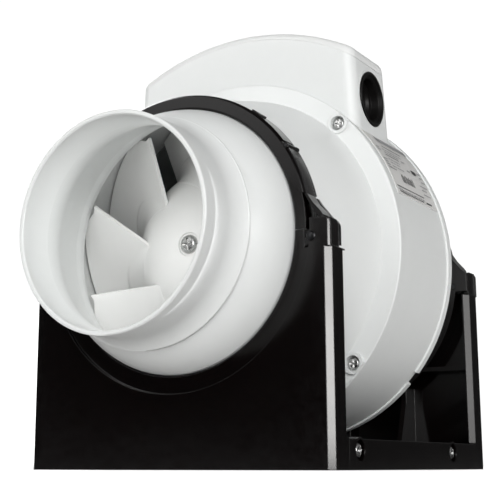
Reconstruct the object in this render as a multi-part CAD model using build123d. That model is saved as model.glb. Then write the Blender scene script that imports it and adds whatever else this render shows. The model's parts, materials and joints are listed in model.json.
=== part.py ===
from build123d import *
import os
import math

# Inline mixed-flow extractor fan for 100 mm duct, on a moulded two-upright
# mounting bracket.  Millimetres.  +Z up, the duct runs along Y (inlet at -Y,
# outlet at +Y), origin at the centre of the bracket's underside.

os.makedirs("parts", exist_ok=True)

# ---------------------------------------------------------------- dimensions
AXIS_H = 102.7        # height of the duct axis above the underside
HALF_LEN = 142.8      # duct axis: rim to rim is 285.6
DUCT_R = 48.5         # outside radius of each spigot (97 mm, for 100 mm duct)
DUCT_RI = 46.3        # inside radius of each spigot
RIDGE_R = 52.7        # ridge where the spigot's flare meets its cone
RIDGE_Y = 114.35
CONE_R = 61.2         # outside radius where the cone enters the clamp ring
BODY_R = 87.8         # drum radius
FLANGE_R = 88.2       # front shell flange
LIP_R = 88.6          # rear lip of the drum
FACE_R = 79.1         # inner edge of the flange's flat face
FACE_Y = -38.2
NECK_R = 61.2         # neck inside each clamp ring
JOINT_R = 65.9        # flanges gripped by the clamp ring
RING_RI = 61.6        # clamp ring lips, inside
RING_RO = 68.7        # clamp ring, outside
RING_Y0 = 91.2        # clamp ring, outer face
RING_Y1 = 79.2        # clamp ring, inner face
HALF_W = 79.1         # bracket half width
END_Y = 93.2          # bracket end face
LOW_Y = 77.7          # inner face of the lower part of an upright
TOP_Y = 81.6          # inner face of the upper part of an upright
STEP_Z = 93.3         # height of the step between the two
SHOULDER = 2.8        # upright's top above the duct axis
PLATE = 2.0           # upright's face plate
BASE_T = 3.0
RAIL_Z = 13.0
HUB_R = 46.5
SHROUD_R = 76.6
SHAFT_R = 4.0
BLADES = 8
BOX_W = 63.2          # terminal box half width at z = 190
BOX_DRAFT = 0.055     # its sides lean in by this much per unit of height
BOX_Y0 = -30.0
BOX_Y1 = 15.0
BOX_TOP = 221.0
ARCH_R = 124.5
LID_T = 4.2           # depth of the lid's skirt
WALL = 2.4
GROM_Y = -9.7
GROM_Z = 181.5
HINGE_X = -73.6       # strap hinge
HINGE_Z = AXIS_H + 1.2
LATCH_A = 33.0        # latch pivot, degrees round the ring
LATCH_PR = 68.3
SLOT_R = 66.95        # floor of the strap's slot for the latch arm
KEEP_X = 70.4         # keeper pin
KEEP_Z = AXIS_H - 5.2


# ------------------------------------------------------------------- helpers
def prof(pts):
    """Closed face in XY: (x, y) is a line to the point, (mx, my, x, y) an arc."""
    edges = []
    cur = pts[0]
    for p in list(pts[1:]) + [pts[0]]:
        if len(p) == 2:
            if math.dist(cur, p) > 1e-7:
                edges.append(Edge.make_line((cur[0], cur[1], 0), (p[0], p[1], 0)))
            cur = p
        else:
            edges.append(Edge.make_three_point_arc(
                (cur[0], cur[1], 0), (p[0], p[1], 0), (p[2], p[3], 0)))
            cur = (p[2], p[3])
    return Face(Wire(edges))


def turned(pts, x=0.0, z=AXIS_H):
    """Solid of revolution about the line x, z along Y; pts are (radius, y)."""
    return Pos(x, 0, z) * Solid.revolve(prof(pts), 360, Axis.Y)


def tube(r0, r1, y0, y1, x=0.0, z=AXIS_H):
    return turned([(r0, y0), (r1, y0), (r1, y1), (r0, y1)], x, z)


def ycyl(r, y0, y1, x=0.0, z=AXIS_H):
    return Pos(x, (y0 + y1) / 2, z) * Rot(90, 0, 0) * Solid.make_cylinder(
        r, y1 - y0, Plane.XY.offset(-(y1 - y0) / 2))


def zcyl(r, z0, z1, x, y):
    return Pos(x, y, z0) * Solid.make_cylinder(r, z1 - z0)


def xcyl(r, x0, x1, y, z):
    return Pos(x0, y, z) * Rot(0, 90, 0) * Solid.make_cylinder(r, x1 - x0)


def block(x0, x1, y0, y1, z0, z1):
    return Pos(x0, y0, z0) * Solid.make_box(x1 - x0, y1 - y0, z1 - z0)


def plate(pts, y0, y1):
    """Front-view outline (x, z) made solid between y0 and y1."""
    return Pos(0, y1, 0) * Rot(90, 0, 0) * Solid.extrude(prof(pts), Vector(0, 0, y1 - y0))


def side(pts, x0, x1):
    """Side-view outline (y, z) made solid between x0 and x1."""
    return Pos(x0, 0, 0) * (Plane.YZ * Solid.extrude(prof(pts), Vector(0, 0, x1 - x0)))


def plan(pts, z0, z1):
    return Pos(0, 0, z0) * Solid.extrude(prof(pts), Vector(0, 0, z1 - z0))


def pol(r, a, x=0.0, z=AXIS_H):
    return (x + r * math.cos(math.radians(a)), z + r * math.sin(math.radians(a)))


def flip_y(s):
    return s.mirror(Plane.XZ)


def flip_x(s):
    return s.mirror(Plane.YZ)


def solids(shape):
    if isinstance(shape, (list, tuple)):
        out = []
        for s in shape:
            out += solids(s)
        return out
    return list(shape.solids())


NODES = {}


def keep(name, shape):
    """Write one node; fastener groups stay separate solids."""
    ss = solids(shape)
    obj = ss[0] if len(ss) == 1 else Compound(children=ss)
    obj.label = name
    NODES[name] = obj
    export_step(obj, "parts/" + name + ".step")


def box_at(cx, cy, cz, dx, dy, dz):
    return block(cx - dx / 2, cx + dx / 2, cy - dy / 2, cy + dy / 2, cz - dz / 2, cz + dz / 2)


def cross_recess(y0, y1, r, x, z, w=1.0):
    """Cross-point recess pointing along Y."""
    return (box_at(x, (y0 + y1) / 2, z, 2 * r, y1 - y0, w)
            + box_at(x, (y0 + y1) / 2, z, w, y1 - y0, 2 * r))


# ------------------------------------------------------------------- spigots
def spigot():
    """Inlet spigot: round rim, cylinder, flare, ridge, cone and clamp flange."""
    o = -HALF_LEN
    pts = [
        (DUCT_RI + 0.5, o),
        (DUCT_R - 0.8, o),
        (DUCT_R - 0.23, o + 0.23, DUCT_R, o + 0.8),
        (DUCT_R, -126.4),
        (49.35, -120.0, RIDGE_R - 0.5, -RIDGE_Y - 0.35),
        (RIDGE_R - 0.05, -RIDGE_Y + 0.1, RIDGE_R - 0.25, -RIDGE_Y + 0.75),
        (RIDGE_R - 1.45, -RIDGE_Y + 1.7),
        (RIDGE_R - 1.55, -RIDGE_Y + 2.4, RIDGE_R - 1.1, -RIDGE_Y + 3.1),
        (57.6, -102.4, CONE_R, -92.0),
        (NECK_R, -88.9),
        (JOINT_R, -88.9),
        (JOINT_R, -86.4),
        (59.5, -86.4),
        (59.5, -84.2),
        (59.2, -83.9),
        (58.6, -84.3),
        (58.1, -89.0),
        (54.6, -101.0, 49.6, -112.4),
        (47.3, -118.6, DUCT_RI, -125.4),
        (DUCT_RI, o + 0.6),
    ]
    return turned(pts)


inlet = spigot()
keep("inlet_spigot", inlet)
keep("outlet_spigot", flip_y(inlet))

gasket = tube(60.1, 65.4, -86.4, -84.4)
keep("front_gasket", gasket)
keep("rear_gasket", flip_y(gasket))

# --------------------------------------------------------------- front shell
SCREW_A = (46.0, 134.0, -41.0, -139.0)
SCREW_R = 83.7
front_pts = [
    (59.8, -84.4),
    (JOINT_R, -84.4),
    (JOINT_R, -81.5),
    (NECK_R, -81.5),
    (NECK_R, -78.8),
    (67.0, -78.8),
    (67.75, -78.55, 68.1, -77.8),
    (74.35, -58.3, FACE_R, FACE_Y),
    (FLANGE_R - 0.9, -36.62),
    (FLANGE_R - 0.2, -36.35, FLANGE_R, -35.7),
    (FLANGE_R, -31.5),
    (85.6, -31.5),
    (85.6, -34.1),
    (77.6, -34.1),
    (76.6, -36.6),
    (72.0, -57.6, 65.3, -76.2),
    (60.4, -80.3),
]
front_shell = turned(front_pts)
for a in SCREW_A:
    bx, bz = pol(SCREW_R, a)
    boss = ycyl(5.2, -38.4, -32.0, bx, bz) & ycyl(FLANGE_R - 0.45, -40, -31)
    front_shell = front_shell + boss
    front_shell = front_shell - ycyl(3.6, -39.5, -35.2, bx, bz) - ycyl(1.9, -36, -31, bx, bz)
keep("front_shell", front_shell)

# ---------------------------------------------------------------- rear shell
rear_pts = [
    (85.3, -31.5),
    (FLANGE_R - 0.9, -31.5),
    (FLANGE_R - 0.9, -30.9),
    (BODY_R, -30.9),
    (BODY_R, 23.8),
    (LIP_R - 0.2, 24.0),
    (LIP_R, 24.4),
    (LIP_R, 28.6),
    (LIP_R - 0.6, 29.4),
    (FACE_R, 31.0),
    (74.35, 54.3, 68.1, 77.8),
    (67.75, 78.55, 67.0, 78.8),
    (NECK_R, 78.8),
    (NECK_R, 81.5),
    (JOINT_R, 81.5),
    (JOINT_R, 84.4),
    (59.8, 84.4),
    (60.4, 80.3),
    (65.3, 76.2),
    (72.0, 53.6, 76.6, 31.4),
    (76.6, 29.2),
    (85.3, 29.2),
]
rear_shell = turned(rear_pts)
for a in SCREW_A:
    bx, bz = pol(SCREW_R, a)
    post = ycyl(4.4, -31.5, -16.0, bx, bz) & ycyl(BODY_R - 1.0, -31.5, -16.0)
    rear_shell = rear_shell + post
    rear_shell = rear_shell - ycyl(1.5, -32, -18.0, bx, bz)
for a in SCREW_A[2:]:
    notch = tube(86.4, 92.0, 23.0, 33.0) & plate([(0, AXIS_H), pol(140, a - 2.3), pol(140, a + 2.3)], 20, 35)
    rear_shell = rear_shell - notch
LEAD_Y = 6.0
rear_shell = rear_shell - zcyl(4.25, AXIS_H + 80, AXIS_H + 95, 0, LEAD_Y)
keep("rear_shell", rear_shell)


def pan_screw(x, z, y_seat, head_r, head_h, shank_r, length, w):
    """Pan head screw entering along +Y; the head stands towards -Y."""
    s = turned([
        (0, y_seat - head_h),
        (head_r * 0.55, y_seat - head_h + 0.12),
        (head_r * 0.9, y_seat - head_h * 0.62, head_r, y_seat - head_h * 0.25),
        (head_r, y_seat),
        (shank_r, y_seat),
        (shank_r, y_seat + length - shank_r),
        (0.2, y_seat + length),
        (0, y_seat + length),
    ], x, z)
    return s - cross_recess(y_seat - head_h - 0.5, y_seat - head_h * 0.38, head_r * 0.62, x, z, w)


keep("shell_screws", [pan_screw(*pol(SCREW_R, a), -35.2, 3.2, 2.1, 1.45, 15.5, 0.95) for a in SCREW_A])

# ------------------------------------------------- guide vanes and motor pod
pod = turned([
    (11.05, -29.5), (HUB_R - 1.0, -29.5), (HUB_R, -28.5), (HUB_R, 28.0),
    (44.0, 28.0), (44.0, -27.0), (15.0, -27.0), (15.0, -18.6), (11.05, -18.6)])
ring = tube(SHROUD_R, SHROUD_R + 1.7, -33.9, 29.1)
gap_zone = tube(HUB_R, SHROUD_R, -25.0, 25.0)
vanes = []
for i in range(9):
    a = 90 + i * 40
    blade = Pos(0, 0, AXIS_H) * Rot(0, -a, 0) * Pos((HUB_R + SHROUD_R) / 2, 0, 0) * Rot(22, 0, 0) * block(
        -16.4, 16.4, -24, 24, -1.1, 1.1)
    vanes.append(blade & gap_zone)
lead_way = zcyl(4.25, AXIS_H + 40, AXIS_H + 80, 0, LEAD_Y)
keep("motor_pod", pod - lead_way)
keep("guide_vanes", [v - lead_way for v in vanes])
keep("vane_ring", ring - lead_way)

keep("front_bearing", tube(SHAFT_R + 0.04, 11.0, -28.5, -21.5))
keep("rear_bearing", tube(SHAFT_R + 0.04, 11.0, 19.6, 26.6))
keep("motor_stator", turned([(22.6, -12), (44.0, -12), (44.0, 12), (22.6, 12)]))
wind_f = turned([(25.5, -12), (38, -12), (39.0, -15.5, 37.0, -17.6), (31.5, -18.3, 26.5, -17.4), (24.9, -15)])
wind_r = turned([(25.5, 12), (24.9, 15), (26.5, 17.4), (31.5, 18.3, 37.0, 17.6), (39.0, 15.5, 38, 12)])
keep("stator_windings", [wind_f, wind_r])
shield = turned([(11.0, 19.2), (15.0, 19.2), (15.0, 24.6), (43.9, 24.6), (43.9, 27.2), (11.0, 27.2)])
for i in range(6):
    x, z = pol(30, 30 + 60 * i)
    shield = shield - ycyl(5.0, 24, 28, x, z)
for i in range(3):
    x, z = pol(39.5, 90 + 120 * i)
    shield = shield - ycyl(1.6, 24, 28, x, z)
keep("bearing_shield", shield)
cone = turned([
    (HUB_R, 28.0), (HUB_R - 0.4, 34.0), (42.0, 52.5, 25.0, 66.5), (13.5, 71.2, 3.0, 72.6), (0, 72.6),
    (0, 70.4), (3.0, 70.4), (13.0, 69.0, 24.0, 64.3), (40.0, 51.2, 43.9, 34.0), (43.9, 28.0)])
keep("tail_cone", cone)


def back_screw(x, z, y_seat, head_r, head_h, shank_r, length, w):
    """The same screw entering along -Y, head towards +Y."""
    return flip_y(pan_screw(x, z, -y_seat, head_r, head_h, shank_r, length, w))


keep("motor_screws", [back_screw(*pol(39.5, 90 + 120 * i), 27.2, 2.9, 1.9, 1.5, 6.5, 0.8) for i in range(3)])

# ----------------------------------------------------------------- the rotor
DOME = [(5.7, -79.35), (17.5, -76.8, 27.6, -72.3), (39.9, -60.8, 46.2, -41.6), (HUB_R, -36.8)]
hub = turned([(0, -78.4), (5.5, -78.4)] + DOME + [
    (HUB_R, -30.4), (44.0, -30.4), (44.0, -38.0), (38.0, -58.6, 26.0, -69.8), (10.6, -75.6),
    (9.0, -75.2), (9.0, -44.0), (SHAFT_R, -44.0), (SHAFT_R, -76.0), (0, -76.0)])
hub = hub - ycyl(2.1, -80, -75.5)
keep("impeller_hub", hub)
hub_fill = turned([(0, -79.35)] + DOME + [(HUB_R, -28.0), (0, -28.0)])

# One row per station from the leading to the trailing edge: blade tip radius,
# angle past the leading edge and height along the axis, then the same at the
# root.  Every row is a straight line from root to tip.
ROWS = [
    (57.2, 0.0, -82.6, 27.6, 0.0, -72.4),
    (59.3, 4.6, -79.4, 30.6, 4.4, -70.3),
    (63.0, 8.8, -76.3, 33.7, 8.8, -67.9),
    (65.9, 14.6, -72.0, 36.7, 13.4, -65.0),
    (67.9, 21.2, -67.0, 39.3, 18.4, -61.6),
    (69.6, 28.2, -61.8, 41.6, 23.6, -57.8),
    (71.1, 35.2, -56.6, 43.5, 29.0, -53.8),
    (72.5, 42.2, -51.4, 44.9, 34.4, -49.8),
    (73.6, 49.0, -46.2, 45.8, 39.8, -45.8),
    (74.5, 55.6, -41.0, 46.2, 45.0, -41.8),
]
TIP_A = 111.04        # angle of the first blade's leading edge at the tip
ROOT_A = 127.49       # and at the root


def on_axis(r, a, y):
    return Vector(r * math.cos(math.radians(a)), y, AXIS_H + r * math.sin(math.radians(a)))


def blade_solid():
    rows = []
    for rt, dt, yt, rh, dh, yh in ROWS:
        tip = on_axis(rt, TIP_A + dt, yt)
        root = on_axis(rh, ROOT_A + dh, yh)
        inner = root + (root - tip) * (4.0 / (root - tip).length)
        rows.append([inner + (tip - inner) * (j / 5) for j in range(6)])
    return Face.make_surface_from_array_of_points(rows, tol=0.02, min_deg=3, max_deg=5)


b0 = thicken(blade_solid(), amount=0.9, both=True).solids()[0]
b0 = solids(b0 - hub_fill)
b0 = max(b0, key=lambda v: v.volume)
keep("impeller_blades", [Pos(0, 0, AXIS_H) * Rot(0, -45.0 * i, 0) * Pos(0, 0, -AXIS_H) * b0 for i in range(BLADES)])

shaft = ycyl(SHAFT_R, -76.0, 29.0) - ycyl(2.0, -76.5, -62.0)
keep("rotor_shaft", shaft)
core = turned([(SHAFT_R, -12.5), (22.0, -12.5), (22.0, 12.5), (SHAFT_R, 12.5)])
keep("rotor_core", core)
keep("impeller_screw", pan_screw(0, AXIS_H, -78.4, 4.5, 2.6, 1.98, 14.5, 1.15))

# ------------------------------------------------------------- terminal case
def case_form(inset, drop):
    """Outer form of the terminal case, moved in by inset and down by drop."""
    y0, y1 = BOX_Y0 + inset, BOX_Y1 - inset
    r0, r1 = 6.0 - min(inset, 2.0), 9.0 - inset
    d0, d1 = r0 * 0.2929, r1 * 0.2929
    wires = []
    for z in (120.0, 240.0):
        w = BOX_W - inset - BOX_DRAFT * (z - 190.0)
        f = prof([
            (-w + r0, y0), (w - r0, y0), (w - d0, y0 + d0, w, y0 + r0),
            (w, y1 - r1), (w - d1, y1 - d1, w - r1, y1),
            (-w + r1, y1), (-w + d1, y1 - d1, -w, y1 - r1),
            (-w, y0 + r0), (-w + d0, y0 + d0, -w + r0, y0)])
        wires.append((Pos(0, 0, z) * f).outer_wire())
    form = Solid.make_loft(wires, True)
    arch = ycyl(ARCH_R - drop, -60, 60, 0, BOX_TOP - ARCH_R)
    return form & arch


outer = case_form(0, 0)
top_face = outer.faces().sort_by(Axis.Z)[-1]
outer_r = outer.fillet(5.4, top_face.edges())
part_cut = ycyl(ARCH_R - LID_T, -60, 60, 0, BOX_TOP - ARCH_R)
seam = ycyl(ARCH_R - LID_T + 0.06, -60, 60, 0, BOX_TOP - ARCH_R)
inner = case_form(WALL, WALL)
lid = outer_r - seam - inner
seat = turned([(0, -60), (FLANGE_R + 0.05, -60), (FLANGE_R + 0.05, -31.2), (BODY_R + 0.05, -31.2),
               (BODY_R + 0.05, 60), (0, 60)])
floor_cyl = ycyl(FLANGE_R + 2.2, -60, 60)
case = (outer_r & part_cut) - seat - (inner - floor_cyl)
POSTS = ((-34.0, -10.0), (34.0, -10.0))
for px, py in POSTS:
    zt = BOX_TOP - ARCH_R + math.sqrt((ARCH_R - LID_T) ** 2 - px * px)
    case = case + (zcyl(4.2, 170, 216, px, py) & (part_cut - floor_cyl))
    case = case - zcyl(1.4, zt - 14, zt + 6, px, py)
XW = BOX_W - BOX_DRAFT * (GROM_Z - 190.0)
case = case + (xcyl(14.4, XW - 1.8, XW + 0.1, GROM_Y, GROM_Z) & part_cut - seat)
case = case - xcyl(14.2, XW + 0.1, 70, GROM_Y, GROM_Z)
case = case - xcyl(11.6, 57.5, 70, GROM_Y, GROM_Z)
case = case - zcyl(4.25, AXIS_H + 80, AXIS_H + 95, 0, LEAD_Y)
for px, py in POSTS:
    zt = BOX_TOP - ARCH_R + math.sqrt(ARCH_R ** 2 - px * px)
    lid = lid - zcyl(1.8, zt - 20, zt + 6, px, py)
    lid = lid + (zcyl(4.6, zt - 8, zt - 1.2, px, py) & (outer - seam)) - zcyl(1.8, zt - 20, zt + 6, px, py) \
        - zcyl(3.4, zt - 2.8, zt + 6, px, py)
keep("terminal_case", case)
keep("terminal_lid", lid)


def lid_screw(px, py):
    zt = BOX_TOP - ARCH_R + math.sqrt(ARCH_R ** 2 - px * px)
    s = pan_screw(0, 0, 0, 2.9, 1.7, 1.3, 13.0, 0.8)
    return Pos(px, py, zt - 2.8) * Rot(-90, 0, 0) * s


keep("lid_screws", [lid_screw(*p) for p in POSTS])

# Cable grommet: a rubber cup in the case's right wall, profile (radius, x).
grom_pts = [
    (12.6, XW + 1.0), (13.7, XW + 1.0), (14.0, XW + 0.7), (14.0, XW + 0.12), (11.5, XW + 0.12), (11.5, 57.9),
    (8.9, 57.7), (7.2, 55.8), (5.6, 55.2), (5.2, 53.6), (3.5, 53.6), (3.5, 58.2), (4.3, 58.7), (5.2, 57.2),
    (6.6, 57.2), (8.2, 58.9), (9.8, 59.4), (10.6, XW - 0.6)]
grom = Pos(0, GROM_Y, GROM_Z) * Rot(0, 0, -90) * Solid.revolve(prof(grom_pts), 360, Axis.Y)
keep("cable_grommet", grom)

# Inside the case.
tb = block(-20, 20, -20, -5, 193.2, 198.2) + block(-20, 20, -17, -8, 198.2, 205.0)
for i in range(4):
    tb = tb - zcyl(2.3, 200.0, 206, -14.1 + 9.4 * i, -12.5)
keep("terminal_block", tb)
keep("terminal_screws", [
    zcyl(2.1, 200.0, 203.6, -14.1 + 9.4 * i, -12.5)
    - box_at(-14.1 + 9.4 * i, -12.5, 203.4, 5, 0.7, 1.0) for i in range(4)])
keep("capacitor", ycyl(8.0, -26.8, 7.2, -47.0, 191.6) + ycyl(3.0, 7.2, 9.2, -47.0, 191.6))
sleeve = zcyl(4.0, AXIS_H + 44.2, AXIS_H + 93.0, 0, LEAD_Y) - zcyl(2.9, AXIS_H + 41.0, AXIS_H + 94.0, 0, LEAD_Y)
keep("lead_sleeve", sleeve)
leads = []
for k, xx in enumerate((-1.35, 1.35)):
    leads.append(zcyl(1.15, AXIS_H + 44.6, 201.0, xx, LEAD_Y)
                 + ycyl(1.15, -2.6, LEAD_Y, xx, 201.0) + (Pos(xx, LEAD_Y, 201.0) * Solid.make_sphere(1.15)))
keep("motor_leads", leads)

# Rating plate: a thin curved plate bonded to the drum's right side.
lab = tube(BODY_R, BODY_R + 0.35, -28.5, 22.0)
wedge = plate([(0, AXIS_H), pol(150, 16.3), pol(150, 42.2)], -30, 24)
keep("rating_plate", lab & wedge)

# ------------------------------------------------------------------- bracket
X0 = HALF_W - 3.4


def upright():
    """Front upright: face plate, side walls, saddle, ribs and foot."""
    top = AXIS_H + SHOULDER
    r = 69.8
    rim = math.sqrt(r * r - SHOULDER * SHOULDER)
    face = plate([(-HALF_W, 0), (HALF_W, 0), (HALF_W, top - 2.5), (HALF_W - 0.8, top - 0.8, HALF_W - 2.5, top),
                  (rim, top), (0, AXIS_H - r, -rim, top),
                  (-HALF_W + 2.5, top), (-HALF_W + 0.8, top - 0.8, -HALF_W, top - 2.5)], -END_Y, -RING_Y0)
    u = face
    # side walls: deep below the step, shallow and set in above it
    for sx in (1, -1):
        w = side([(-END_Y, 0), (-LOW_Y, 0), (-LOW_Y, STEP_Z - 1.0), (-LOW_Y - 0.3, STEP_Z - 0.3, -LOW_Y - 1.0, STEP_Z),
                  (-END_Y, STEP_Z)], X0, HALF_W)
        w2 = side([(-END_Y + 0.5, STEP_Z - 1), (-TOP_Y, STEP_Z - 1), (-TOP_Y, top - 3.0),
                   (-TOP_Y - 0.9, top - 0.9, -TOP_Y - 3.0, top), (-END_Y + 0.5, top)], X0, HALF_W - 1.0)
        if sx < 0:
            w, w2 = flip_x(w), flip_x(w2)
        u = u + w + w2
    # the saddle: lower half of the clamp ring
    low = block(-90, 90, -95, -60, -10, AXIS_H - 1.6)
    ch = turned([
        (RING_RI - 0.1, -RING_Y0 + 0.8), (RING_RI + 0.7, -RING_Y0), (72.0, -RING_Y0), (72.0, -RING_Y1), (RING_RI - 0.1, -RING_Y1),
        (RING_RI - 0.1, -81.2), (66.0, -81.2), (66.0, -89.2), (RING_RI - 0.1, -89.2)])
    u = u + (ch & low)
    # ribs behind the face plate
    outside = block(-100, 100, -100, -60, -10, AXIS_H) - ycyl(71.5, -101, -59)
    ribs = block(-X0, X0, -RING_Y0, -LOW_Y, 0, 3.0)
    for x in (-39.6, 0.0, 39.6):
        ribs = ribs + (block(x - 1.5, x + 1.5, -RING_Y0, -RING_Y1, 2.0, AXIS_H) & outside)
    ribs = ribs + (block(-X0 - 0.5, X0 + 0.5, -RING_Y0, -RING_Y1, 52.0, 54.4) & outside)
    u = u + ribs
    # bottom inner gussets at the rib lines
    for x in (-39.6, 39.6):
        g = side([(-RING_Y0, 2.0), (-69.5, 2.0), (-69.5, 11.0), (-81.5, 41.0), (-RING_Y0, 41.0)], x - 1.5, x + 1.5)
        u = u + (g & outside)
    # corner chamfers: a wide strip below the step, a narrow one above it
    for sx in (1, -1):
        c = 2.6
        cut = plan([(HALF_W - c, -END_Y), (HALF_W - c, -END_Y - 2), (HALF_W + 2, -END_Y - 2), (HALF_W + 2, -END_Y + c),
                    (HALF_W, -END_Y + c)], -1.0, STEP_Z - 0.6)
        c2 = 0.9
        cut2 = plan([(HALF_W - c2, -END_Y), (HALF_W - c2, -END_Y - 2), (HALF_W + 2, -END_Y - 2),
                     (HALF_W + 2, -END_Y + c2), (HALF_W, -END_Y + c2)], STEP_Z - 0.6, top + 5)
        cut3 = plan([(HALF_W, -LOW_Y - c), (HALF_W + 2, -LOW_Y - c), (HALF_W + 2, -LOW_Y + 2), (HALF_W - c, -LOW_Y + 2),
                     (HALF_W - c, -LOW_Y)], RAIL_Z + 0.6, STEP_Z - 0.6)
        for k in (cut, cut2, cut3):
            u = u - (k if sx > 0 else flip_x(k))
    return u


def front_details(u):
    """Hinge lugs on the left, latch shoulder and keeper seat on the right."""
    # left: two lugs either side of the strap's hinge eye
    for y0, y1 in ((-RING_Y0, -89.4), (-81.4, -RING_Y1)):
        lug = ycyl(3.3, y0, y1, HINGE_X, HINGE_Z) + block(
            HINGE_X - 3.3, HINGE_X + 3.3, y0, y1, STEP_Z - 4.0, HINGE_Z)
        lug = lug + block(-X0 - 0.5, -69.4, y0, y1, STEP_Z - 6.0, AXIS_H - 6.0)
        u = u + lug
    u = u - ycyl(1.5, -92.4, -78.0, HINGE_X, HINGE_Z)
    # clearance for the eye
    u = u - (ycyl(4.0, -89.4, -81.4, HINGE_X, HINGE_Z))
    # right: sloping shoulder that guards the latch, in the ring's inner plane
    fin = plate([(69.2, AXIS_H - 8.0), (78.1, AXIS_H - 8.0), (78.1, AXIS_H - 0.5), (77.4, AXIS_H + 2.2, 75.2, AXIS_H + 4.1),
                 (73.7, AXIS_H + 5.9), (69.6, AXIS_H + 11.0), (67.9, AXIS_H + 13.6), (67.55, AXIS_H + 13.2)], -81.4, -RING_Y1)
    fin = fin - ycyl(RING_RO + 0.3, -82, -79)
    u = u + fin
    # slot for the latch claw
    u = u - block(69.2, 75.6, -90.6, -81.5, AXIS_H - 9.5, AXIS_H + 6)
    # hook pocket in the saddle's face under the strap's end
    u = u - block(66.3, 68.7, -92.0, -89.7, AXIS_H - 9.6, AXIS_H)
    hook = plate([(66.2, AXIS_H - 4.6), (68.8, AXIS_H - 6.2), (68.8, AXIS_H - 7.4), (66.9, AXIS_H - 9.0),
                  (66.2, AXIS_H - 9.0)], -90.9, -89.6)
    u = u + hook
    u = u - ycyl(1.5, -94, -78, KEEP_X, KEEP_Z)
    return u


up = front_details(upright())
up_r = flip_y(up)
keep("front_upright", up)
keep("rear_upright", up_r)

# Base tray between the uprights: floor, side rails and four fixing holes.
base = block(-HALF_W, HALF_W, -LOW_Y, LOW_Y, 0, BASE_T)
for sx in (1, -1):
    rail = block(HALF_W - 3.0, HALF_W, -LOW_Y, LOW_Y, 0, RAIL_Z) + block(HALF_W - 7.0, HALF_W, -LOW_Y, LOW_Y, 0, 8.0)
    base = base + (rail if sx > 0 else flip_x(rail))
for y in (-40.0, 0.0, 40.0):
    base = base + block(-HALF_W + 3, HALF_W - 3, y - 1.2, y + 1.2, 0, 7.0)
for x in (-38.0, 38.0):
    base = base + block(x - 1.2, x + 1.2, -68.0, 68.0, 0, 7.0)
HOLES = [(sx * 55.0, sy * 55.0) for sx in (1, -1) for sy in (1, -1)]
for hx, hy in HOLES:
    base = base + zcyl(7.5, 0, 7.0, hx, hy)
    base = base - zcyl(2.75, -1, 9, hx, hy)
    base = base - zcyl(5.2, 4.5, 9, hx, hy)
SIDE = ((-66.7, 8.2), (45.5, 8.2))
for sy, sz in SIDE:
    for sx in (1, -1):
        pocket = xcyl(4.6, HALF_W - 2.2, HALF_W + 1, sy, sz)
        bossx = xcyl(5.6, HALF_W - 8.0, HALF_W - 0.0, sy, sz) & block(0, HALF_W, -LOW_Y, LOW_Y, 0, 30)
        hole = xcyl(1.6, HALF_W - 9, HALF_W + 1, sy, sz)
        if sx < 0:
            pocket, bossx, hole = flip_x(pocket), flip_x(bossx), flip_x(hole)
        base = base + bossx
        base = base - pocket - hole
# the gussets of the uprights pass over the floor
for x in (-39.6, 39.6):
    for sy in (1, -1):
        g = block(x - 1.7, x + 1.7, -LOW_Y - 1, -69.2, 1.0, 12.0)
        base = base - (g if sy > 0 else flip_y(g))
keep("base_tray", base)
screws = []
for sy, sz in SIDE:
    s = pan_screw(0, 0, 0, 3.3, 2.0, 1.55, 6.5, 0.9)
    right = Pos(HALF_W - 2.2, sy, sz) * Rot(0, 0, 90) * s
    screws += [right, flip_x(right)]
keep("bracket_screws", screws)

# Pins carried by the bracket.
hp = ycyl(1.45, -92.2, -78.9, HINGE_X, HINGE_Z) + ycyl(2.4, -78.9, -77.9, HINGE_X, HINGE_Z)
keep("strap_hinge_pins", [hp, flip_y(hp)])
kp = turned([(0, -93.9), (1.6, -93.7), (2.2, -93.2), (2.2, -92.9 - 0.3), (1.48, -93.2), (1.48, -79.4), (0, -79.4)],
            KEEP_X, KEEP_Z)
keep("keeper_pins", [kp, flip_y(kp)])


# -------------------------------------------------------------- clamp straps
def sector(a0, a1, r=95.0):
    return plate([(0, AXIS_H), pol(r, a0), pol(r, a1)], -100, -60)


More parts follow.
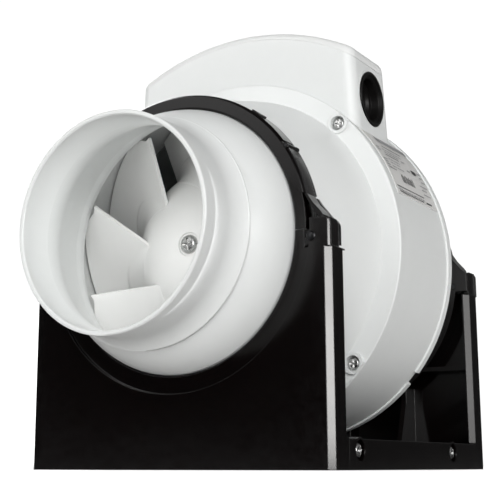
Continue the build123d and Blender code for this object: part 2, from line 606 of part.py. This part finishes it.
def strap():
    """Upper half of the clamp ring with its hinge eye and latch ears."""
    ring = turned([
        (RING_RI, -RING_Y0 + 0.8), (RING_RI + 0.8, -RING_Y0), (RING_RO - 1.1, -RING_Y0), (RING_RO, -RING_Y0 + 1.6),
        (RING_RO, -RING_Y1 - 0.6), (RING_RO - 0.6, -RING_Y1), (RING_RI, -RING_Y1),
        (RING_RI, -81.1), (66.2, -81.1), (66.2, -89.3), (RING_RI, -89.3)])
    s = ring & block(-90, 90, -95, -60, AXIS_H - 1.1, AXIS_H + 90)
    eye = ycyl(3.2, -89.1, -81.7, HINGE_X, HINGE_Z) + block(HINGE_X, -67.2, -89.1, -81.7, HINGE_Z - 2.2, HINGE_Z + 3.2)
    eye = eye - block(-67.2 - 1.4, -60, -90, -80, AXIS_H - 10, AXIS_H - 1.1)
    s = s + eye
    s = s - ycyl(1.53, -92, -78, HINGE_X, HINGE_Z)
    # latch ears, then the slot the arm lies in and the cut-back lower end
    lx, lz = pol(LATCH_PR, LATCH_A)
    for y0, y1 in ((-RING_Y0 + 0.15, -90.2), (-81.6, -79.5)):
        ear = ycyl(1.3, y0, y1, lx, lz) + (Pos(0, 0, AXIS_H) * Rot(0, -LATCH_A, 0) * block(
            67.0, LATCH_PR, y0, y1, -1.3, 2.4))
        s = s + ear
    s = s - (tube(SLOT_R, 80.0, -90.2, -81.6) & sector(-12.0, LATCH_A + 2.6))
    s = s - (tube(SLOT_R + 0.1, 80.0, -95.0, -70.0) & sector(-12.0, 12.6))
    s = s - ycyl(0.64, -92, -79, lx, lz)
    # relief beside the hinge, so the groove swings clear of the flanges
    s = s - (tube(65.8, 66.65, -89.3, -81.1) & sector(168.0, 184.0))
    # small index tab on the ring's crown
    tab = turned([(RING_RO - 0.8, -89.4), (RING_RO + 0.8, -89.0), (RING_RO + 0.8, -82.2), (RING_RO - 0.8, -81.8)]) & plate(
        [(0, AXIS_H), pol(100, 51.2), pol(100, 54.8)], -95, -70)
    s = s + tab
    return s


front_strap = strap()
keep("front_strap", front_strap)
keep("rear_strap", flip_y(front_strap))
lx, lz = pol(LATCH_PR, LATCH_A)
lp = ycyl(0.62, -90.95, -79.7, lx, lz)
keep("front_latch_pin", lp)
keep("rear_latch_pin", flip_y(lp))


def latch():
    """Slim latch arm hinged at its upper end, with a claw at the lower."""
    r0, r1 = 67.35, 68.75
    mid = (LATCH_A + 12.5) / 2
    pts = [pol(r0, LATCH_A), (*pol(r0, mid), *pol(r0, 12.5)),
           (70.0, AXIS_H + 7.4), (72.4, AXIS_H + 3.6), (72.4, KEEP_Z - 0.95),
           (KEEP_X - 0.2, KEEP_Z - 1.95), (KEEP_X - 0.2, KEEP_Z - 3.6), (KEEP_X + 3.0, KEEP_Z - 3.6),
           (KEEP_X + 4.3, KEEP_Z - 2.4), (KEEP_X + 4.3, AXIS_H + 4.4), (73.4, AXIS_H + 6.3), (69.9, AXIS_H + 10.2),
           pol(r1, 12.0), (*pol(r1, mid), *pol(r1, LATCH_A))]
    arm = plate(pts, -90.0, -81.8) + ycyl(1.2, -90.0, -81.8, lx, lz)
    arm = arm - ycyl(0.69, -92, -80, lx, lz)
    return arm


la = latch()
keep("front_latch", la)
keep("rear_latch", flip_y(la))

print("nodes", len(NODES))
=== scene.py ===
import bpy, bmesh, json, math
from mathutils import Vector, Matrix


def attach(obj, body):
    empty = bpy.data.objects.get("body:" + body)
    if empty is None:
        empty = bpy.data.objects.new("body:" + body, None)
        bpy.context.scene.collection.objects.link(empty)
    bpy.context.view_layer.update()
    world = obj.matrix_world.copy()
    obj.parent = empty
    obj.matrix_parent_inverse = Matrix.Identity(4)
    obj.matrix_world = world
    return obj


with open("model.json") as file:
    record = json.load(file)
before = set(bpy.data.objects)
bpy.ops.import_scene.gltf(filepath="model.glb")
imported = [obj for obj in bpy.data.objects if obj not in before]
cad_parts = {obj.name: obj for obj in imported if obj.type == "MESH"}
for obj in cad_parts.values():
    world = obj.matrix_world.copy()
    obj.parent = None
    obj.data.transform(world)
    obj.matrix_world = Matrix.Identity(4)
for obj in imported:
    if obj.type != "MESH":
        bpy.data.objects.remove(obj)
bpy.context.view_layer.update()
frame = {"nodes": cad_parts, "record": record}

N = frame["nodes"]
H = 0.1027                     # height of the duct axis
mm = 0.001


# ------------------------------------------------------------------ materials
class Mat:
    """Small helper round one node-based material."""

    def __init__(self, name):
        self.m = bpy.data.materials.new(name)
        self.m.use_nodes = True
        t = self.m.node_tree
        t.nodes.clear()
        self.n, self.l = t.nodes, t.links
        self.out = self.n.new("ShaderNodeOutputMaterial")
        self.b = self.n.new("ShaderNodeBsdfPrincipled")
        self.l.new(self.b.outputs[0], self.out.inputs[0])
        self.tc = self.n.new("ShaderNodeTexCoord")
        self.co = self.tc.outputs["Object"]

    def noise(self, scale, detail=3.0, rough=0.55, vec=None, dist=0.0):
        x = self.n.new("ShaderNodeTexNoise")
        x.inputs["Scale"].default_value = scale
        x.inputs["Detail"].default_value = detail
        x.inputs["Roughness"].default_value = rough
        x.inputs["Distortion"].default_value = dist
        self.l.new(vec or self.co, x.inputs["Vector"])
        return x.outputs["Fac"]

    def voronoi(self, scale, vec=None, feature="F1"):
        x = self.n.new("ShaderNodeTexVoronoi")
        x.feature = feature
        x.inputs["Scale"].default_value = scale
        self.l.new(vec or self.co, x.inputs["Vector"])
        return x.outputs["Distance"]

    def ramp(self, fac, stops):
        r = self.n.new("ShaderNodeValToRGB")
        e = r.color_ramp.elements
        while len(e) < len(stops):
            e.new(0.5)
        for el, (p, c) in zip(e, stops):
            el.position = p
            el.color = (*c, 1) if len(c) == 3 else c
        self.l.new(fac, r.inputs["Fac"])
        return r.outputs["Color"]

    def maprange(self, v, a, b, c, d, clamp=True):
        r = self.n.new("ShaderNodeMapRange")
        r.clamp = clamp
        for k, x in zip(("From Min", "From Max", "To Min", "To Max"), (a, b, c, d)):
            r.inputs[k].default_value = x
        self.l.new(v, r.inputs["Value"])
        return r.outputs["Result"]

    def math(self, op, a, b=None):
        r = self.n.new("ShaderNodeMath")
        r.operation = op
        for i, x in enumerate((a, b)):
            if x is None:
                continue
            if isinstance(x, (int, float)):
                r.inputs[i].default_value = x
            else:
                self.l.new(x, r.inputs[i])
        return r.outputs[0]

    def mix(self, fac, a, b, mode="MIX"):
        r = self.n.new("ShaderNodeMix")
        r.data_type = "RGBA"
        r.blend_type = mode
        if isinstance(fac, (int, float)):
            r.inputs[0].default_value = fac
        else:
            self.l.new(fac, r.inputs[0])
        for i, x in ((6, a), (7, b)):
            if isinstance(x, (tuple, list)):
                r.inputs[i].default_value = (*x, 1) if len(x) == 3 else x
            else:
                self.l.new(x, r.inputs[i])
        return r.outputs[2]

    def scaled(self, sx, sy, sz):
        r = self.n.new("ShaderNodeVectorMath")
        r.operation = "MULTIPLY"
        self.l.new(self.co, r.inputs[0])
        r.inputs[1].default_value = (sx, sy, sz)
        return r.outputs[0]

    def xyz(self, vec=None):
        r = self.n.new("ShaderNodeSeparateXYZ")
        self.l.new(vec or self.co, r.inputs[0])
        return r.outputs

    def bump(self, height, distance, strength=1.0, normal=None):
        r = self.n.new("ShaderNodeBump")
        r.inputs["Strength"].default_value = strength
        r.inputs["Distance"].default_value = distance
        self.l.new(height, r.inputs["Height"])
        if normal is not None:
            self.l.new(normal, r.inputs["Normal"])
        return r.outputs["Normal"]

    def bevel(self, radius):
        r = self.n.new("ShaderNodeBevel")
        r.samples = 4
        r.inputs["Radius"].default_value = radius
        return r.outputs["Normal"]

    def edges(self, lo, hi):
        """0 on flats, 1 on convex edges."""
        g = self.n.new("ShaderNodeNewGeometry")
        return self.maprange(g.outputs["Pointiness"], lo, hi, 0, 1)

    def set(self, key, value):
        s = self.b.inputs[key]
        if isinstance(value, (int, float)):
            s.default_value = value
        elif isinstance(value, (tuple, list)):
            s.default_value = (*value, 1) if len(value) == 3 else value
        else:
            self.l.new(value, s)


def plastic(name, c0, c1, rough, spread, grain, depth, round_r=0.0, spec=0.5, edge=None, dust=None, coat=None):
    """Moulded plastic: flow marks in the colour, fine tool grain, rounded arrises."""
    m = Mat(name)
    flow = m.noise(9.0, 4.0, 0.6, m.scaled(1.0, 0.45, 1.0), 0.6)
    fine = m.noise(140.0, 3.0, 0.6)
    f = m.math("MULTIPLY_ADD", fine, 0.35)
    f.node.inputs[2].default_value = 0.0
    t = m.math("ADD", m.math("MULTIPLY", flow, 0.75), m.math("MULTIPLY", fine, 0.25))
    col = m.mix(m.maprange(t, 0.32, 0.68, 0, 1), c0, c1)
    if dust:
        d = m.maprange(m.noise(55.0, 6.0, 0.7), 0.58, 0.80, 0, dust[1])
        col = m.mix(d, col, dust[0])
    if edge:
        col = m.mix(m.math("MULTIPLY", m.edges(0.53, 0.62), m.maprange(m.noise(260.0), 0.35, 0.65, 0.2, 1.0)), col, edge)
    m.set("Base Color", col)
    r = m.maprange(m.math("ADD", m.math("MULTIPLY", m.noise(38.0, 5.0, 0.65), 0.6), m.math("MULTIPLY", flow, 0.4)),
                   0.3, 0.7, rough - spread, rough + spread)
    m.set("Roughness", r)
    m.set("Specular IOR Level", spec)
    m.set("IOR", 1.49)
    if coat:
        m.set("Coat Weight", coat[0])
        m.set("Coat Roughness", coat[1])
    base = m.bevel(round_r) if round_r else None
    wave = m.noise(24.0, 2.0, 0.5)
    nrm = m.bump(wave, 0.00025, 0.35, base)
    nrm = m.bump(m.noise(grain, 2.0, 0.5), depth, 0.7, nrm)
    m.set("Normal", nrm)
    return m.m


def metal(name, c0, c1, rough, spread, scratch=(1, 1, 1), sscale=900.0, depth=0.00002, round_r=0.0):
    m = Mat(name)
    m.set("Metallic", 1.0)
    patch = m.noise(160.0, 5.0, 0.65)
    m.set("Base Color", m.mix(m.maprange(patch, 0.3, 0.7, 0, 1), c0, c1))
    m.set("Roughness", m.maprange(m.noise(420.0, 4.0, 0.6), 0.3, 0.7, rough - spread, rough + spread))
    base = m.bevel(round_r) if round_r else None
    m.set("Normal", m.bump(m.noise(sscale, 3.0, 0.6, m.scaled(*scratch)), depth, 0.6, base))
    return m.m


WHITE = plastic("white_moulding", (0.708, 0.724, 0.717), (0.736, 0.751, 0.744), 0.34, 0.05, 2600.0, 0.000018, 0.0004, 0.40)
WHITE_TOP = plastic("white_lid_moulding", (0.745, 0.755, 0.748), (0.775, 0.785, 0.778), 0.38, 0.05, 2400.0, 0.00003, 0.0004, 0.40)
BLADE = plastic("impeller_moulding", (0.850, 0.852, 0.838), (0.880, 0.880, 0.868), 0.42, 0.05, 2200.0, 0.00002, 0.0003, 0.40)
GREY = plastic("grey_moulding", (0.20, 0.22, 0.22), (0.25, 0.27, 0.27), 0.5, 0.06, 2000.0, 0.00003, 0.0003, 0.45)
BLACK = plastic("black_moulding", (0.0014, 0.0007, 0.0007), (0.0022, 0.0012, 0.0011), 0.125, 0.03, 2300.0, 0.000006, 0.00055,
                0.34, edge=(0.006, 0.0055, 0.0055))
RUBBER = plastic("black_rubber", (0.0030, 0.0026, 0.0026), (0.0050, 0.0044, 0.0042), 0.36, 0.07, 1500.0, 0.00003, 0.0004, 0.18)
ZINC = metal("zinc_steel", (0.66, 0.66, 0.65), (0.50, 0.50, 0.50), 0.26, 0.08, (1, 1, 1), 1400.0, 0.00002, 0.00015)
GROUND = metal("bearing_steel", (0.60, 0.60, 0.62), (0.50, 0.50, 0.52), 0.22, 0.06, (1, 1, 20), 500.0, 0.00001, 0.0002)
LAMS = metal("lamination_steel", (0.22, 0.22, 0.235), (0.16, 0.16, 0.175), 0.42, 0.08, (0.02, 1, 0.02), 2500.0, 0.00008)
COPPER = metal("enamelled_copper", (0.62, 0.25, 0.10), (0.48, 0.17, 0.06), 0.30, 0.08, (1, 1, 1), 900.0, 0.00015)
CAST = metal("cast_shield", (0.55, 0.56, 0.57), (0.45, 0.46, 0.47), 0.42, 0.08, (1, 1, 1), 700.0, 0.00006, 0.0003)
LEAD = plastic("lead_insulation", (0.05, 0.10, 0.28), (0.07, 0.13, 0.34), 0.4, 0.05, 1800.0, 0.00002)
TERM = plastic("terminal_plastic", (0.60, 0.58, 0.52), (0.66, 0.64, 0.58), 0.45, 0.05, 2000.0, 0.00003, 0.0003)
CAPM = plastic("capacitor_plastic", (0.52, 0.54, 0.56), (0.58, 0.60, 0.62), 0.3, 0.05, 2000.0, 0.00002, 0.0003)
DARKSTEEL = metal("black_steel", (0.030, 0.030, 0.031), (0.045, 0.045, 0.047), 0.34, 0.07, (1, 1, 1), 1300.0, 0.00002, 0.0002)
LABEL = plastic("label_film", (0.67, 0.665, 0.65), (0.71, 0.705, 0.69), 0.30, 0.05, 1800.0, 0.00001)
HEADER = plastic("label_header_ink", (0.30, 0.30, 0.31), (0.36, 0.36, 0.37), 0.40, 0.05, 1600.0, 0.00001)
INK = plastic("label_ink", (0.035, 0.035, 0.038), (0.06, 0.06, 0.064), 0.42, 0.05, 1600.0, 0.00001)

SLOT = {
    "white_moulding": WHITE, "black_moulding": BLACK, "impeller_moulding": BLADE, "grey_moulding": GREY,
    "black_rubber": RUBBER, "zinc_steel": ZINC, "bearing_steel": GROUND, "lamination_steel": LAMS,
    "enamelled_copper": COPPER, "cast_shield": CAST, "lead_insulation": LEAD, "terminal_plastic": TERM,
    "capacitor_plastic": CAPM, "label_film": LABEL, "black_steel": DARKSTEEL,
}
slot_of = {s["node"]: s["material_slot"] for s in frame["record"]["subparts"]}
for name, o in N.items():
    mat = SLOT[slot_of[name]]
    if not o.material_slots:
        o.data.materials.append(mat)
    for ms in o.material_slots:
        ms.material = mat
N["terminal_lid"].material_slots[0].material = WHITE_TOP

# ------------------------------------------------- print on the rating plate
LABEL_R = 0.08835


def curved(marks, name, mat, r=LABEL_R + 0.00005):
    """Thin raised print on the plate: marks are (y0, y1, angle0, angle1), mm and degrees."""
    bm = bmesh.new()
    for y0, y1, a0, a1 in marks:
        n = max(1, int(abs(a1 - a0) / 1.0))
        rows = []
        for k in range(n + 1):
            a = math.radians(a0 + (a1 - a0) * k / n)
            rows.append([bm.verts.new(((rr * math.cos(a)), y * mm, H + rr * math.sin(a)))
                         for rr in (r - 0.00002, r) for y in (y0, y1)])
        for p, q in zip(rows, rows[1:]):
            bm.faces.new((p[2], p[3], q[3], q[2]))
            bm.faces.new((p[1], p[0], q[0], q[1]))
            bm.faces.new((p[0], p[2], q[2], q[0]))
            bm.faces.new((p[3], p[1], q[1], q[3]))
        bm.faces.new((rows[0][0], rows[0][1], rows[0][3], rows[0][2]))
        bm.faces.new((rows[-1][1], rows[-1][0], rows[-1][2], rows[-1][3]))
    bmesh.ops.recalc_face_normals(bm, faces=bm.faces)
    me = bpy.data.meshes.new(name)
    bm.to_mesh(me)
    bm.free()
    me.materials.append(mat)
    o = bpy.data.objects.new(name, me)
    bpy.context.scene.collection.objects.link(o)
    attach(o, "root")
    return o


rules = [(-17.0, 7.0, 36.2, 35.9), (-20.6, -4.0, 31.9, 31.6), (-27.0, 7.0, 19.3, 19.0), (-26.0, 4.5, 17.4, 17.15),
         (-25.4, -17.5, 26.0, 25.75)]
dashes = []
for row, (a, y_from, y_to, seed) in enumerate(((34.4, -20.0, 4.0, 5), (33.1, -20.0, -2.0, 2), (30.3, -20.0, -6.0, 3),
                                               (28.9, -20.0, -8.0, 7), (27.5, -20.0, -5.0, 4), (18.2, -26.0, 6.0, 6))):
    y = y_from
    k = seed
    while y < y_to:
        k = (k * 7 + 3) % 11
        w = 1.1 + 0.28 * k
        dashes.append((y, min(y + w, y_to), a, a - 0.42))
        y += w + 0.8
for a in (29.6, 28.5, 27.4, 26.3, 33.4, 34.5):
    dashes.append((-27.0, -23.4 + 0.4 * (int(a * 10) % 3), a, a - 0.5))
for a in (32.6, 28.8):
    dashes.append((0.0, 4.0, a, a - 0.5))
fine = []
for a, y0, y1 in ((30.0, 14.6, 19.4), (28.2, 14.6, 18.2), (26.4, 14.6, 19.8), (24.2, 9.0, 19.0), (22.6, 9.0, 15.6),
                  (20.9, 9.0, 18.2)):
    fine.append((y0, y1, a, a - 0.4))
bars = [(7.4, 12.6, 30.0, 28.4), (8.2, 15.0, 17.7, 17.2)]
y = -15.0
k = 4
while y < 0.0:
    k = (k * 5 + 3) % 7
    w = 0.26 + 0.07 * k
    tall = 25.0 - 0.35 * (k % 3)
    bars.append((y, y + w, tall, 21.7))
    y += w + 0.75 + 0.12 * ((k * 3) % 4)
curved([(-16.0, 21.8, 41.0, 38.6)], "label_header", HEADER)
curved(rules, "label_rules", INK)
curved(dashes, "label_rows", HEADER)
curved(fine, "label_side_rows", HEADER)
curved(bars, "label_bars", INK)

# ------------------------------------- soft fillets where the blades meet the hub
# Blade stations from leading to trailing edge: tip radius, angle and depth, then root.
STATIONS = [
    (57.2, 0.0, -82.6, 27.6, 0.0, -72.4), (59.3, 4.6, -79.4, 30.6, 4.4, -70.3), (63.0, 8.8, -76.3, 33.7, 8.8, -67.9),
    (65.9, 14.6, -72.0, 36.7, 13.4, -65.0), (67.9, 21.2, -67.0, 39.3, 18.4, -61.6), (69.6, 28.2, -61.8, 41.6, 23.6, -57.8),
    (71.1, 35.2, -56.6, 43.5, 29.0, -53.8), (72.5, 42.2, -51.4, 44.9, 34.4, -49.8), (73.6, 49.0, -46.2, 45.8, 39.8, -45.8),
    (74.5, 55.6, -41.0, 46.2, 45.0, -41.8)]
WIDTHS = [1.6, 3.2, 5.2, 7.0, 8.4, 9.2, 9.4, 9.0, 8.0, 6.5]
ROOT_A, TIP_A = 127.49, 111.04


def arc3(a, m, b):
    """Circle through three (r, y) points: centre and radius."""
    ax, ay, bx, by, cx, cy = *a, *m, *b
    d = 2 * (ax * (by - cy) + bx * (cy - ay) + cx * (ay - by))
    ux = ((ax * ax + ay * ay) * (by - cy) + (bx * bx + by * by) * (cy - ay) + (cx * cx + cy * cy) * (ay - by)) / d
    uy = ((ax * ax + ay * ay) * (cx - bx) + (bx * bx + by * by) * (ax - cx) + (cx * cx + cy * cy) * (bx - ax)) / d
    return ux, uy, math.hypot(ax - ux, ay - uy)


ARC_FRONT = arc3((5.7, -79.35), (17.5, -76.8), (27.6, -72.3))
ARC_SIDE = arc3((27.6, -72.3), (39.9, -60.8), (46.2, -41.6))


def hub_radius(y):
    """Outside radius of the hub at depth y."""
    if y > -41.6:
        return 46.2 + 0.3 * min(1.0, (y + 41.6) / 4.8)
    ux, uy, rr = ARC_SIDE if y > -72.3 else ARC_FRONT
    return ux + math.sqrt(max(rr * rr - (y - uy) ** 2, 0.0))


def hub_point(angle, y):
    r = hub_radius(y)
    return Vector((r * math.cos(angle), y, r * math.sin(angle)))


def hub_normal(angle, y):
    slope = (hub_radius(y + 0.2) - hub_radius(y - 0.2)) / 0.4
    return Vector((math.cos(angle), -slope, math.sin(angle))).normalized()


def smooth_row(rows, t):
    """Catmull-Rom through the rows at parameter t."""
    n = len(rows) - 1
    i = min(int(t), n - 1)
    u = t - i
    q = [rows[max(0, min(n, i + k))] for k in (-1, 0, 1, 2)]
    return [0.5 * (2 * b + (c - a) * u + (2 * a - 5 * b + 4 * c - d) * u * u + (3 * b - a - 3 * c + d) * u ** 3)
            for a, b, c, d in zip(*q)]


def fillet_rings():
    table = [list(st) + [w] for st, w in zip(STATIONS, WIDTHS)]
    n_sub = 4
    samples = [smooth_row(table, k / n_sub) for k in range((len(table) - 1) * n_sub + 1)]
    roots, tips = [], []
    for rt, dt, yt, rh, dh, yh, w in samples:
        a = math.radians(ROOT_A + dh)
        roots.append(hub_point(a, yh))
        b = math.radians(TIP_A + dt)
        tips.append(Vector((rt * math.cos(b), yt, rt * math.sin(b))))
    rings = []
    for k, smp in enumerate(samples):
        w = smp[6]
        root, tip = roots[k], tips[k]
        along = (roots[min(k + 1, len(roots) - 1)] - roots[max(k - 1, 0)]).normalized()
        up = (tip - root).normalized()
        ang, yy = math.atan2(root.z, root.x), root.y
        nh = hub_normal(ang, yy)
        side = nh.cross(along).normalized()
        if side.y > 0:
            side = -side
        face = up.cross(along).normalized()
        if face.y > 0:
            face = -face
        far = root + side * w
        far = hub_point(math.atan2(far.z, far.x), far.y)
        n_far = hub_normal(math.atan2(far.z, far.x), far.y)
        corner = root + side * 0.95
        corner = hub_point(math.atan2(corner.z, corner.x), corner.y)
        top = root + up * w + face * 0.86
        ring = []
        for j in range(9):
            t = j / 8
            ring.append((far + n_far * 0.02) * (1 - t) ** 2 + corner * (2 * t * (1 - t)) + top * t * t)
        ring += [root + up * w, root - nh * 0.7, far - n_far * 0.7]
        rings.append(ring)
    return rings


RINGS = fillet_rings()
bm = bmesh.new()
for blade in range(8):
    turn = Matrix.Rotation(math.radians(45.0 * blade), 4, "Y")
    rows = []
    for ring in RINGS:
        row = []
        for v in ring:
            w = turn @ v
            row.append(bm.verts.new((w.x * mm, w.y * mm, w.z * mm + H)))
        rows.append(row)
    m = len(rows[0])
    for p_, q_ in zip(rows, rows[1:]):
        for j in range(m):
            f = bm.faces.new((p_[j], p_[(j + 1) % m], q_[(j + 1) % m], q_[j]))
            f.smooth = j < 8
    bm.faces.new(rows[0][::-1])
    bm.faces.new(rows[-1])
bmesh.ops.recalc_face_normals(bm, faces=bm.faces)
me = bpy.data.meshes.new("blade_fillets")
bm.to_mesh(me)
bm.free()
me.materials.append(BLADE)
fillets = bpy.data.objects.new("blade_fillets", me)
bpy.context.scene.collection.objects.link(fillets)
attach(fillets, "rotor")

# --------------------------------------------------------------------- camera
cam_d = bpy.data.cameras.new("camera")
cam = bpy.data.objects.new("camera", cam_d)
bpy.context.scene.collection.objects.link(cam)
bpy.context.scene.camera = cam
cam_d.sensor_width = 36.0
cam_d.lens = 86.334
cam_d.shift_x = 0.0549
cam_d.shift_y = -0.0930
cam_d.clip_start, cam_d.clip_end = 0.02, 60
cam.location = (0.29489, -0.54340, 0.0015)
az, el = math.radians(30.787), math.radians(12.374)
fwd = Vector((-math.sin(az) * math.cos(el), math.cos(az) * math.cos(el), math.sin(el)))
cam.rotation_mode = "QUATERNION"
cam.rotation_quaternion = fwd.to_track_quat("-Z", "Y")

# --------------------------------------------------------- floor and lighting
DOME = 0.33
SOFTBOXES = [((0.66, -0.74, 0.13), 8.0, 34.0, 5.9), ((-0.45, -0.72, 0.53), 8.0, 24.0, 1.6),
             ((-0.38, -0.65, 0.66), 3.0, 9.0, 9.0), ((-0.70, 0.70, 0.22), 8.0, 34.0, 3.2)]
STRIP = 8.0
bm = bmesh.new()
bmesh.ops.create_grid(bm, x_segments=2, y_segments=2, size=14.0)
me = bpy.data.meshes.new("floor")
bm.to_mesh(me)
bm.free()
floor = bpy.data.objects.new("floor", me)
bpy.context.scene.collection.objects.link(floor)
floor.location = (0, 0, -0.0002)
fm = Mat("floor_paint")
flp = fm.n.new("ShaderNodeLightPath")
pale = fm.mix(fm.maprange(fm.noise(3.0), 0.3, 0.7, 0, 1), (0.875, 0.855, 0.845), (0.89, 0.87, 0.86))
fm.set("Base Color", fm.mix(fm.math("MULTIPLY", flp.outputs["Is Glossy Ray"], 0.95), pale, (0.10, 0.10, 0.10)))
fm.set("Roughness", fm.maprange(fm.noise(20.0), 0.3, 0.7, 0.6, 0.7))
me.materials.append(fm.m)
fm.set("Emission Color", (1.0, 1.0, 1.0))
fm.set("Emission Strength", fm.math("ADD", fm.math("MULTIPLY", flp.outputs["Is Camera Ray"], 0.7),
                                    fm.math("MULTIPLY", flp.outputs["Is Diffuse Ray"], 0.16)))

world = bpy.data.worlds.new("studio")
bpy.context.scene.world = world
world.use_nodes = True
wn, wl = world.node_tree.nodes, world.node_tree.links
wn.clear()


def wmath(op, *args):
    r = wn.new("ShaderNodeMath")
    r.operation = op
    for i, x in enumerate(args):
        if isinstance(x, (int, float)):
            r.inputs[i].default_value = x
        else:
            wl.new(x, r.inputs[i])
    return r.outputs[0]


def wsmooth(v, a, b, lo=0.0, hi=1.0):
    r = wn.new("ShaderNodeMapRange")
    r.interpolation_type = "SMOOTHSTEP"
    for k, x in zip(("From Min", "From Max", "To Min", "To Max"), (a, b, lo, hi)):
        r.inputs[k].default_value = x
    wl.new(v, r.inputs["Value"])
    return r.outputs[0]


def softbox(direction, inner, outer, level):
    """Round soft light seen in one direction, angles in degrees."""
    d = Vector(direction).normalized()
    r = wn.new("ShaderNodeVectorMath")
    r.operation = "DOT_PRODUCT"
    wl.new(wt.outputs["Generated"], r.inputs[0])
    r.inputs[1].default_value = d
    return wsmooth(r.outputs["Value"], math.cos(math.radians(outer)), math.cos(math.radians(inner)), 0.0, level)


wo = wn.new("ShaderNodeOutputWorld")
bg_light = wn.new("ShaderNodeBackground")
bg_view = wn.new("ShaderNodeBackground")
bg_view.inputs["Color"].default_value = (1, 1, 1, 1)
bg_view.inputs["Strength"].default_value = 1.05
mixw = wn.new("ShaderNodeMixShader")
lp = wn.new("ShaderNodeLightPath")
wl.new(lp.outputs["Is Camera Ray"], mixw.inputs[0])
wl.new(bg_light.outputs[0], mixw.inputs[1])
wl.new(bg_view.outputs[0], mixw.inputs[2])
wl.new(mixw.outputs[0], wo.inputs[0])
wt = wn.new("ShaderNodeTexCoord")
sep = wn.new("ShaderNodeSeparateXYZ")
wl.new(wt.outputs["Generated"], sep.inputs[0])
dome = wsmooth(sep.outputs["Z"], 0.10, 0.36, 0.03, DOME)
low_back = wmath("MULTIPLY", wsmooth(sep.outputs["Y"], 0.2, 0.9, 0.0, 0.04), wsmooth(sep.outputs["Z"], -0.05, 0.2, 0.4, 1.0))
dome = wmath("MULTIPLY", dome, wsmooth(sep.outputs["Z"], 0.40, 0.90, 1.0, 0.15))
dome = wmath("MULTIPLY", dome, wsmooth(sep.outputs["Y"], 0.2, 0.8, 1.0, 0.45))
total = wmath("ADD", dome, low_back)
for args in SOFTBOXES:
    total = wmath("ADD", total, softbox(*args))
wl.new(total, bg_light.inputs["Strength"])
bg_light.inputs["Color"].default_value = (1.0, 1.0, 1.0, 1)


def area(name, loc, target, size, power, size_y=None, col=(1, 1, 1)):
    d = bpy.data.lights.new(name, "AREA")
    d.shape = "RECTANGLE"
    d.size = size
    d.size_y = size_y or size
    d.energy = power
    d.color = col
    o = bpy.data.objects.new(name, d)
    bpy.context.scene.collection.objects.link(o)
    o.location = loc
    o.rotation_mode = "QUATERNION"
    o.rotation_quaternion = (Vector(target) - Vector(loc)).to_track_quat("-Z", "Y")
    o.visible_camera = False
    return o


for name, turn in (("strip_front", -25.6), ("strip_rear", -18.7)):
    ca, sa = math.cos(math.radians(turn)), math.sin(math.radians(turn))
    y_at = -0.092 if name == "strip_front" else 0.092
    at = (0.079 + 1.9 * ca, y_at + 1.9 * sa, 0.26)
    lamp = area(name, at, (0.079, y_at, 0.26), 0.20, STRIP * (0.85 if name == "strip_front" else 0.22), 0.50, (1.0, 0.985, 0.97))
    lamp.visible_diffuse = False

# light that the duct's bright bore throws back on to the impeller
fill_d = bpy.data.lights.new("duct_fill", "AREA")
fill_d.shape = "DISK"
fill_d.size = 0.080
fill_d.energy = 0.016
duct_fill = bpy.data.objects.new("duct_fill", fill_d)
bpy.context.scene.collection.objects.link(duct_fill)
duct_fill.location = (0.012, -0.139, H - 0.004)
duct_fill.rotation_mode = "QUATERNION"
duct_fill.rotation_quaternion = Vector((-0.10, 1.0, 0.0)).to_track_quat("-Z", "Y")
duct_fill.visible_camera = False
duct_fill.visible_glossy = False

bpy.context.scene.view_settings.view_transform = "Standard"
bpy.context.scene.view_settings.look = "None"
